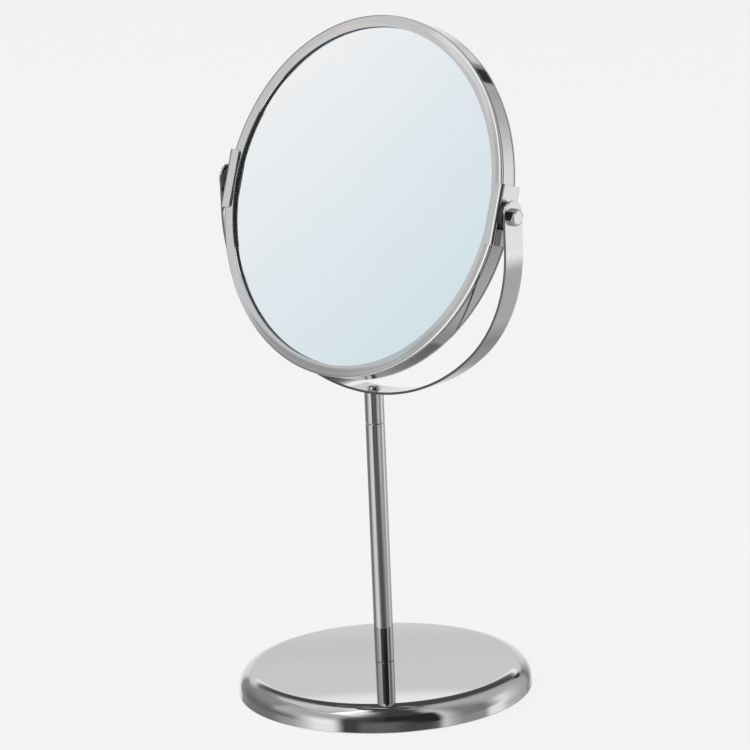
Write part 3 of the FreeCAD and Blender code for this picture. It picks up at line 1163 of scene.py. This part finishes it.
@dataclass
class Pivot:
    """Clip, friction washer and hexagon-head screw at one end of the pivot axis."""

    side: Side
    clip_sheet: float = 1.0
    clip_bend: float = 0.3  # inside radius of its two bends
    clip_corner: float = 1.4
    clip_edge: float = 0.22
    washer_edge: float = 0.5
    washer_bore_edge: float = 0.1
    head_flats: float = 7.0
    head_height: float = 2.8
    solid_head: float = 3.6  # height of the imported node's head
    head_chamfer: float = 0.6
    head_corner: float = 0.25
    shank: float = 2.5  # radius
    shank_edge: float = 0.2

    def __post_init__(self) -> None:
        """Measure this side's nodes."""
        self.name = self.side.value
        self.place = Place(self.name)
        self.clip = measure(f"clip_{self.name}", self.place)
        self.washer = measure(f"pivot_washer_{self.name}", self.place)
        self.screw = measure(f"pivot_screw_{self.name}", self.place)

    def build(self) -> None:
        """Build the three pieces and dress the hidden nut plate."""
        self._piece("clip", POLISHED_STEEL, "clip").build(*self._clip_sheet().patches())
        line = ring_section(self.washer, (self.washer_bore_edge, self.washer_edge, self.washer_edge,
                                          self.washer_bore_edge))
        self._piece("washer", BLACK_NYLON, "pivot_washer").build(lathe(line, ROD_STEPS))
        self._piece("screw", POLISHED_STEEL, "pivot_screw").build(*self._screw_patches())
        dress_nodes(ZINC_STEEL, f"nut_plate_{self.name}")

    def _piece(self, part: str, finish: Finish, node: str) -> Piece:
        """One piece of this side."""
        return Piece(f"{self.name}_{part}", self.place, finish, f"{node}_{self.name}")

    def _clip_sheet(self) -> Sheet:
        """Channel of sheet round the ring: a lip, a bend, the web, a bend and a lip.

        In the pivot's frame its section lies in the XZ plane, the web at the top, and its length runs
        along Y.

        Returns:
            The bent sheet.
        """
        middle = self.clip_sheet / 2
        wide = float(self.clip.high[0]) - middle
        top = self.clip.top - middle
        radius = self.clip_bend + middle
        lip = Stretch(top - radius - self.clip.bottom)
        corner = Stretch(radius * math.pi / 2, 1 / radius)
        web = Stretch(2 * (wide - radius))
        bend = Bend((wide, self.clip.bottom), 90, (lip, corner, web, corner, lip))
        long = float(self.clip.high[1] - self.clip.low[1])
        return Sheet(bend, long, self.clip_sheet, self.clip_corner, self.clip_edge)

    def _head_plan(self, reach: float) -> tuple[Array, Array]:
        """Outline of the head: a hexagon with rounded corners, with even points on each of its stretches.

        Args:
            reach: Distance of its unrounded corners from the axis.

        Returns:
            Points and unit normals, both (count, 2).
        """
        angles = np.radians(np.arange(30, 390, 60))
        outline = rounded([(reach * math.cos(a), reach * math.sin(a), self.head_corner) for a in angles])
        share = np.linspace(0, 1, HEXAGON_POINTS)[None, :, None]

        def between(values: Array) -> Array:
            """Values along every stretch, mixed from its two ends."""
            return (values[:-1, None] * (1 - share) + values[1:, None] * share).reshape(-1, 2)

        facing = between(outline.normals)
        return between(outline.points), facing / np.linalg.norm(facing, axis=1, keepdims=True)

    def _screw_patches(self) -> list[Patch]:
        """Hexagon head with a turned chamfer, on a plain shank.

        A level of the head is the rounded hexagon, drawn in to the chamfer's cone wherever it is wider.

        Returns:
            The head's side, its top, its underside and the shank.
        """
        seat = self.screw.top - self.solid_head
        top = seat + self.head_height
        reach = self.head_flats / math.sqrt(3)
        plan, facing = self._head_plan(reach)
        crown = self.head_flats / 2 - self.head_chamfer
        fall = self.head_chamfer / (reach - crown)
        levels = np.concatenate([[seat], np.linspace(top - self.head_chamfer, top, CHAMFER_LEVELS)])
        cone = (crown + (top - levels) / fall)[:, None]
        distance = np.linalg.norm(plan, axis=1)
        drawn = distance > cone
        points = np.empty((len(levels), len(plan), 3))
        points[..., :2] = plan * np.where(drawn, cone / distance, 1.0)[..., None]
        points[..., 2] = levels[:, None]
        normals = np.zeros_like(points)
        normals[..., :2] = facing
        lean = math.atan(fall)
        radial = plan / distance[:, None]
        slanted = np.concatenate([radial * math.sin(lean), np.full((len(plan), 1), math.cos(lean))], 1)
        normals = np.where(drawn[..., None], slanted, normals)

        flat, under, up = np.zeros((3, 2, len(plan), 3))
        flat[0] = points[-1]
        flat[1, :, 2] = top
        under[0] = points[0]
        under[1, :, :2] = radial * self.shank
        under[1, :, 2] = seat
        up[..., 2] = 1
        shank = rounded([(0, self.screw.bottom, 0), (self.shank, self.screw.bottom, self.shank_edge),
                         (self.shank, seat, 0)], closed=False)
        return [Patch(points, normals), Patch(flat, up), Patch(under, -up), lathe(shank, SHANK_STEPS)]


# ---------------------------------------------------------------- studio
@dataclass(frozen=True)
class Directions:
    """A grid of directions. Azimuth runs round from the camera's side, + to the camera's right."""

    azimuth: Array
    elevation: Array

    @classmethod
    def grid(cls, turns: tuple[float, float], lifts: tuple[float, float]) -> Directions:
        """Directions with SHELL_STEP between them.

        Args:
            turns: First and last azimuth.
            lifts: First and last elevation.

        Returns:
            The grid, with a row for each azimuth.
        """
        lines = [np.linspace(low, high, round((high - low) / SHELL_STEP) + 1)
                 for low, high in (turns, lifts)]
        return cls(*np.meshgrid(*lines, indexing="ij"))


@dataclass(frozen=True)
class Panel:
    """A soft box, a wall or a flag of the studio, as the polished metal sees it.

    Args:
        name: What it is.
        azimuth: Its middle.
        elevation: Its middle above the horizon.
        width: Its width.
        height: Its height.
        soft_across: Width of its fading sides.
        soft_up: Height of its fading top and bottom.
        level: Brightness inside it, where 1 is white.
    """

    name: str
    azimuth: float
    elevation: float
    width: float
    height: float
    soft_across: float
    soft_up: float
    level: float = 1.0

    def share(self, ways: Directions) -> Array:
        """How far directions lie inside the panel: a product of two smooth steps.

        Args:
            ways: The directions.

        Returns:
            0 outside to 1 inside, by direction.
        """
        sideways = np.abs((ways.azimuth - self.azimuth + 180) % 360 - 180)
        upwards = np.abs(ways.elevation - self.elevation)
        return (smooth_step(self.width / 2 - sideways, self.soft_across)
                * smooth_step(self.height / 2 - upwards, self.soft_up))


def smooth_step(inside: Array, soft: float) -> Array:
    """Cubic step: 3 t^2 - 2 t^3, where t grows from 0 to 1 over a width round 0."""
    share = np.clip(inside / soft + 0.5, 0, 1)
    return share * share * (3 - 2 * share)


def overlay(level: Array, panels: tuple[Panel, ...], ways: Directions) -> Array:
    """Lay panels over a brightness. Each covers what lies before it by its share.

    Args:
        level: Brightness by direction.
        panels: The panels, in order.
        ways: The directions.

    Returns:
        The new brightness by direction.
    """
    for panel in panels:
        share = panel.share(ways)
        level = level * (1 - share) + panel.level * share
    return level


# Most of these numbers were made by another program: a least-squares fit of what the metal reflects, which
# wrote its rounded results in here. The names and first places were given one by one, and so were all numbers
# of "right window, low", "bright over background", "bright line over background" and the two black cards.
STUDIO_PANELS = (
    Panel("floor, front left", -48.8, -64.4, 118.9, 49, 23.7, 20.2, 1.38),
    Panel("floor, front right", 65.7, -71.4, 84.7, 48.9, 24.6, 20.4, 1.23),
    Panel("floor, behind", 150.2, -59.8, 119.7, 57.4, 30, 23.7, 0.15),
    Panel("floor, left", -125, -40, 50, 24, 24, 20, 0.5),
    Panel("left wall", -109.7, 4.8, 91.1, 81.3, 21.5, 24, 0.38),
    Panel("left wall, dark", -111.3, -4.2, 63.7, 30.9, 28.4, 29.7, 0.21),
    Panel("left wall, top", -98.9, 50, 102, 18.8, 18.9, 17.5, 0.61),
    Panel("left box", -86.7, 61.1, 105.5, 17.8, 22.9, 14.9, 1.13),
    Panel("left box, near", -48.5, 55.4, 52.3, 29.9, 39, 15.6, 1.38),
    Panel("left front", -67.3, 27, 62.8, 41.5, 10.7, 20.9, 0.61),
    Panel("left window", -45.7, -3.1, 41.5, 37.4, 27, 25.4, 1.31),
    Panel("left window, low", -55.2, -24.7, 57.5, 22.2, 41, 2.8, 0.99),
    Panel("right wall", 88.9, 58.2, 73.2, 64.6, 24.7, 18.7, 0.63),
    Panel("right wall, low", 59.3, 15.9, 47.5, 72.6, 40.2, 43.5, 0.3),
    Panel("right wall, far", 127.1, 13.2, 33.4, 78.9, 19.8, 19.8, 0.63),
    Panel("right window", 102.2, -1, 23.2, 52.3, 25, 19.4, 1.13),
    Panel("right floor", 91.4, -37, 94.2, 44.7, 6, 19.3, 0.59),
    Panel("right window, low", 94, -12.5, 18, 8, 10, 10, 1.27),
    Panel("right strip", 32.9, 24.3, 31.8, 78.9, 29.9, 5.2, 1.16),
    Panel("background", 170.8, 4, 68.1, 74.7, 9.7, 8.4, 0.94),
    Panel("background, low", 163.2, -37.5, 66.5, 24.5, 10.8, 37.7, 0.42),
    Panel("dark over background", 175.8, 53.7, 65.3, 65.1, 12.8, 26.9, 0.09),
    Panel("dark over background, left", -155.6, 77.3, 52.1, 30.1, 30.6, 34.2, 0.07),
    Panel("dark gap", 147.1, 25.8, 13.7, 98.4, 31.2, 25.7, 0.09),
    Panel("ceiling", 0, 91.9, 720, 29.3, 20, 23.5, 0.07),
    Panel("ceiling, left", -70.6, 69.5, 72.4, 10.1, 36.1, 9.5, 1.45),
    Panel("camera side", 1, 21.5, 55.5, 62.3, 41, 44.6, 0.06),
    Panel("camera side, high", 16, 59.4, 48.1, 45.6, 22.8, 13.6, 0.07),
    Panel("camera side, low", -0.2, -31.6, 34.9, 40.2, 16.9, 8.1, 0.07),
    Panel("camera side, right", 20.1, 14.6, 45.2, 55.7, 7.9, 4.4, 0.03),
    Panel("camera side, left", -27.7, 3.6, 19.3, 42.6, 11.5, 8.7, 0.08),
    Panel("table front", -1.5, -5.9, 31, 25.7, 19.6, 26.2, 0.19),
    Panel("bright over background", 178, 20.6, 70, 9.8, 16, 5, 0.86),
    Panel("bright line over background", 175, 23.0, 46, 3.0, 22, 1.4, 1.24),
    Panel("dark edge, far right", 146.1, 20.8, 11.2, 7, 4.1, 11.5, 0.2),
    Panel("black card, far right", 144.3, 21.5, 8.6, 9, 2, 5, 0.045),
    Panel("black card, camera side", 32.5, -10, 11, 4, 5, 3, 0.04),
    Panel("camera side, dark edge", 17.8, -10.5, 8.1, 22.8, 36.2, 9.3, 0.11),
)


@dataclass(frozen=True)
class Window:
    """Graded light close to the head's left side, which fills the plain glass.

    Args:
        panel: Its place as the pivot sees it, with soft edges.
        distance: Of its middle from the pivot, in metres.
        far: Colour of its edge farther from the camera.
        near: Colour of its edge nearer to the camera.
        ramp: Width over which the one turns into the other.
        slant: How far that change leans towards its lower edge.
        turns: First and last azimuth of what is built.
        lifts: First and last elevation of it.
        surround: Paler and darker cloth round it, with its place as the pivot sees it.
    """

    panel: Panel
    distance: float
    far: Colour
    near: Colour
    ramp: float
    slant: float
    turns: tuple[float, float]
    lifts: tuple[float, float]
    surround: tuple[Panel, ...]

    def over(self, behind: Array, ways: Directions) -> Array:
        """Straight mix of its two colours across the window, over what lies behind its soft edges.

        Args:
            behind: Brightness of the studio by direction.
            ways: The directions.

        Returns:
            Colour by direction (..., 3).
        """
        behind = overlay(behind, self.surround, ways)[..., None]
        share = self.panel.share(ways)[..., None]
        lean = math.radians(self.slant)
        way = ((ways.azimuth - self.panel.azimuth) * math.cos(lean)
               - (ways.elevation - self.panel.elevation) * math.sin(lean))
        across = np.clip(way / self.ramp + 0.5, 0, 1)[..., None]
        light = np.array(self.far) * (1 - across) + np.array(self.near) * across
        return behind * (1 - share) + light * share


# The two colours, the ramp and the slant were set after a straight-line fit of what the plain
# glass reflects.
STUDIO_WINDOW = Window(
    Panel("window", -86.0, 16.4, 42.5, 55.5, 4, 4), distance=0.2,
    far=(0.985, 0.935, 0.93), near=(0.71, 0.802, 0.836), ramp=50, slant=23,
    turns=(-119, -29), lifts=(-27, 63), surround=(
        Panel("cloth round the window", -88, 20, 78, 90, 14, 12, 0.86),
        Panel("cloth beside it", -40, 16, 30, 84, 16, 12, 0.56),
        Panel("dark beside it", -23, 18, 28, 52, 10, 8, 0.14),
        Panel("bright strip beside it", -39, 20, 18, 92, 5, 12, 1.7),
        Panel("bright strip above it", -58, 58, 50, 14, 12, 6, 1.4),
        Panel("corner of the cloth", -68, 45, 22, 12, 8, 8, 1.04),
        Panel("cloth below it", -84, -24, 34, 30, 12, 8, 0.48),
        Panel("cloth below it, near", -61, -14, 26, 26, 10, 10, 0.6),
    ))


@dataclass(frozen=True)
class Lamp:
    """A large soft lamp.

    Args:
        name: What it is.
        place: Where it hangs, in metres.
        power: Its power, in watts.
    """

    name: str
    place: tuple[float, float, float]
    power: float


STUDIO_LAMPS = (Lamp("key", (-1.4, -1.6, 2.2), 46.0), Lamp("fill", (2.0, -0.6, 1.6), 24.0))
WHITE = (1.0, 1.0, 1.0, 1.0)


@dataclass
class Studio:
    """Camera, floor, lamps and what the metal reflects."""

    azimuth: float = 43.028
    elevation: float = 13.64
    roll: float = -2.325
    distance: float = 1765.0
    lens: float = 180.41
    sensor: float = 36.0
    far_metres: float = 100.0  # past which the camera sees nothing
    target: float = 160.0  # height that the camera looks at
    aside: float = -1.097  # by which the camera stands to the left of that line
    raised: float = -5.859  # and above it
    floor_metres: float = 30.0  # half the floor's width
    paper: float = 0.85  # colour of the floor in the object's light
    floor_glow: float = 0.905  # colour of the floor as it is seen
    floor_share: float = 0.95  # of what is seen of it that is that colour; the rest takes shadow
    background: float = 0.896  # the world as it is seen
    daylight: float = 0.5  # the world as it lights
    lamp_metres: float = 1.6  # width of each lamp
    aim_metres: float = 0.2  # height that the lamps point at
    tent: float = 8.0  # radius of the reflection tent, in metres
    room: float = 0.22  # its brightness where no panel is, from the same fit as the panels
    lamps: tuple[Lamp, ...] = STUDIO_LAMPS
    panels: tuple[Panel, ...] = STUDIO_PANELS
    window: Window = STUDIO_WINDOW

    def build(self) -> None:
        """Set up the whole studio."""
        self._camera()
        self._floor()
        self._lamps()
        self._world()
        self._tents()
        bpy.context.scene.view_settings.view_transform = "Standard"

    def _axes(self) -> tuple[Vector, Vector, Vector]:
        """Directions of the camera, turned by its azimuth, elevation and roll.

        Returns:
            Its right, up and backward directions.
        """
        turn, lift, roll = (math.radians(v) for v in (self.azimuth, self.elevation, self.roll))
        back = Vector((math.sin(turn) * math.cos(lift), -math.cos(turn) * math.cos(lift), math.sin(lift)))
        right = Vector((math.cos(turn), math.sin(turn), 0))
        up = back.cross(right)
        return (right * math.cos(roll) + up * math.sin(roll), up * math.cos(roll) - right * math.sin(roll),
                back)

    def _camera(self) -> None:
        """Long lens that looks down a little from the mirror's right side."""
        right, up, back = self._axes()
        data = bpy.data.cameras.new("camera")
        data.lens = self.lens
        data.sensor_width = self.sensor
        data.clip_end = self.far_metres
        place = Vector((0, 0, self.target)) + back * self.distance - right * self.aside + up * self.raised
        camera = add_object("camera", data)
        turn = Matrix((right, up, back)).transposed().to_4x4()
        camera.matrix_world = Matrix.Translation(place * MM) @ turn
        bpy.context.scene.camera = camera

    def _floor(self) -> None:
        """Pale floor. The camera sees mostly its colour, with a faint shadow."""
        corners = np.array([[-1, -1, 0], [1, -1, 0], [1, 1, 0], [-1, 1, 0]], float) * self.floor_metres
        mesh = bpy.data.meshes.new("floor")
        mesh.from_pydata(corners, [], [(0, 1, 2, 3)])
        made, graph = new_material("floor")
        paper = graph.node("ShaderNodeBsdfDiffuse", inputs={"Color": (*[self.paper] * 3, 1)})
        shown = graph.node("ShaderNodeEmission", inputs={"Color": WHITE, "Strength": self.floor_glow})
        graph.surface(graph.node("ShaderNodeMixShader", inputs={
            0: graph.seen() * self.floor_share, 1: paper.outputs[0], 2: shown.outputs[0]}))
        mesh.materials.append(made)
        floor = add_object("floor", mesh)
        floor.visible_glossy = False

    def _lamps(self) -> None:
        """Large soft lamps above, which the metal doesn't show."""
        for lamp in self.lamps:
            data = bpy.data.lights.new(lamp.name, "AREA")
            data.size = self.lamp_metres
            data.energy = lamp.power
            made = add_object(lamp.name, data)
            made.location = lamp.place
            way = Vector((0, 0, self.aim_metres)) - made.location
            made.rotation_euler = way.to_track_quat("-Z", "Y").to_euler()
            made.visible_glossy = False

    def _world(self) -> None:
        """Even pale surroundings."""
        world = bpy.data.worlds.new("studio")
        world.use_nodes = True
        bpy.context.scene.world = world
        graph = Graph(world.node_tree)
        strength = self.daylight + graph.seen() * (self.background - self.daylight)
        glow = graph.node("ShaderNodeBackground", inputs={"Color": WHITE, "Strength": strength})
        graph.node("ShaderNodeOutputWorld", inputs={"Surface": glow.outputs[0]})

    def _tents(self) -> None:
        """Reflection tent round the object, and inside it the window beside the head: sphere shells whose
        brightness by direction is the panels' own, laid over each other in order."""
        ways = Directions.grid((-180, 180), (-90, 90))
        self._shell("tent", ways, self.tent, PIVOT * 0.5, self._level(ways)[..., None] * np.ones(3))
        ways = Directions.grid(self.window.turns, self.window.lifts)
        glow = self.window.over(self._level(ways), ways)
        self._shell("window", ways, self.window.distance, PIVOT, glow)

    def _level(self, ways: Directions) -> Array:
        """Brightness of the tent by direction."""
        return overlay(np.full(ways.azimuth.shape, self.room), self.panels, ways)

    def _shell(self, name: str, ways: Directions, radius: float, middle: Vector, glow: Array) -> None:
        """One piece of a sphere that only polished surfaces see.

        The point at azimuth a and elevation e is r (sin a cos e, -cos a cos e, sin e).

        Args:
            name: Of its object and material.
            ways: Direction of each point of its grid.
            radius: Of the sphere, in metres.
            middle: Of the sphere.
            glow: Colour of each point.
        """
        turn, lean = np.radians(ways.azimuth + self.azimuth), np.radians(ways.elevation)
        points = radius * np.dstack([np.sin(turn) * np.cos(lean), -np.cos(turn) * np.cos(lean),
                                     np.sin(lean)])
        mesh = bpy.data.meshes.new(name)
        mesh.from_pydata(points.reshape(-1, 3), [], grid_quads(*turn.shape))
        colours = np.concatenate([glow.reshape(-1, 3), np.ones((turn.size, 1))], 1)
        mesh.color_attributes.new("glow", "FLOAT_COLOR", "POINT").data.foreach_set("color", colours.ravel())
        made, graph = new_material(name)
        made.cycles.emission_sampling = "NONE"
        colour = graph.node("ShaderNodeAttribute", {"attribute_name": "glow"}).outputs["Color"]
        graph.surface(graph.node("ShaderNodeEmission", inputs={"Color": colour, "Strength": 1.0}))
        mesh.materials.append(made)
        shell = add_object(name, mesh)
        shell.location = middle
        shell.visible_camera = False
        shell.visible_diffuse = False
        shell.visible_shadow = False
        shell.visible_transmission = False


def main() -> None:
    """Build every sub-assembly in order, then the studio."""
    logging.basicConfig(level=logging.INFO, format="%(name)s %(message)s")
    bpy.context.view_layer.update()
    for part in (Base(), Stem(), Yoke(), Ring(), Glasses(), Pivot(Side.LEFT), Pivot(Side.RIGHT)):
        part.build()
    Studio().build()


if __name__ == "__main__":
    main()
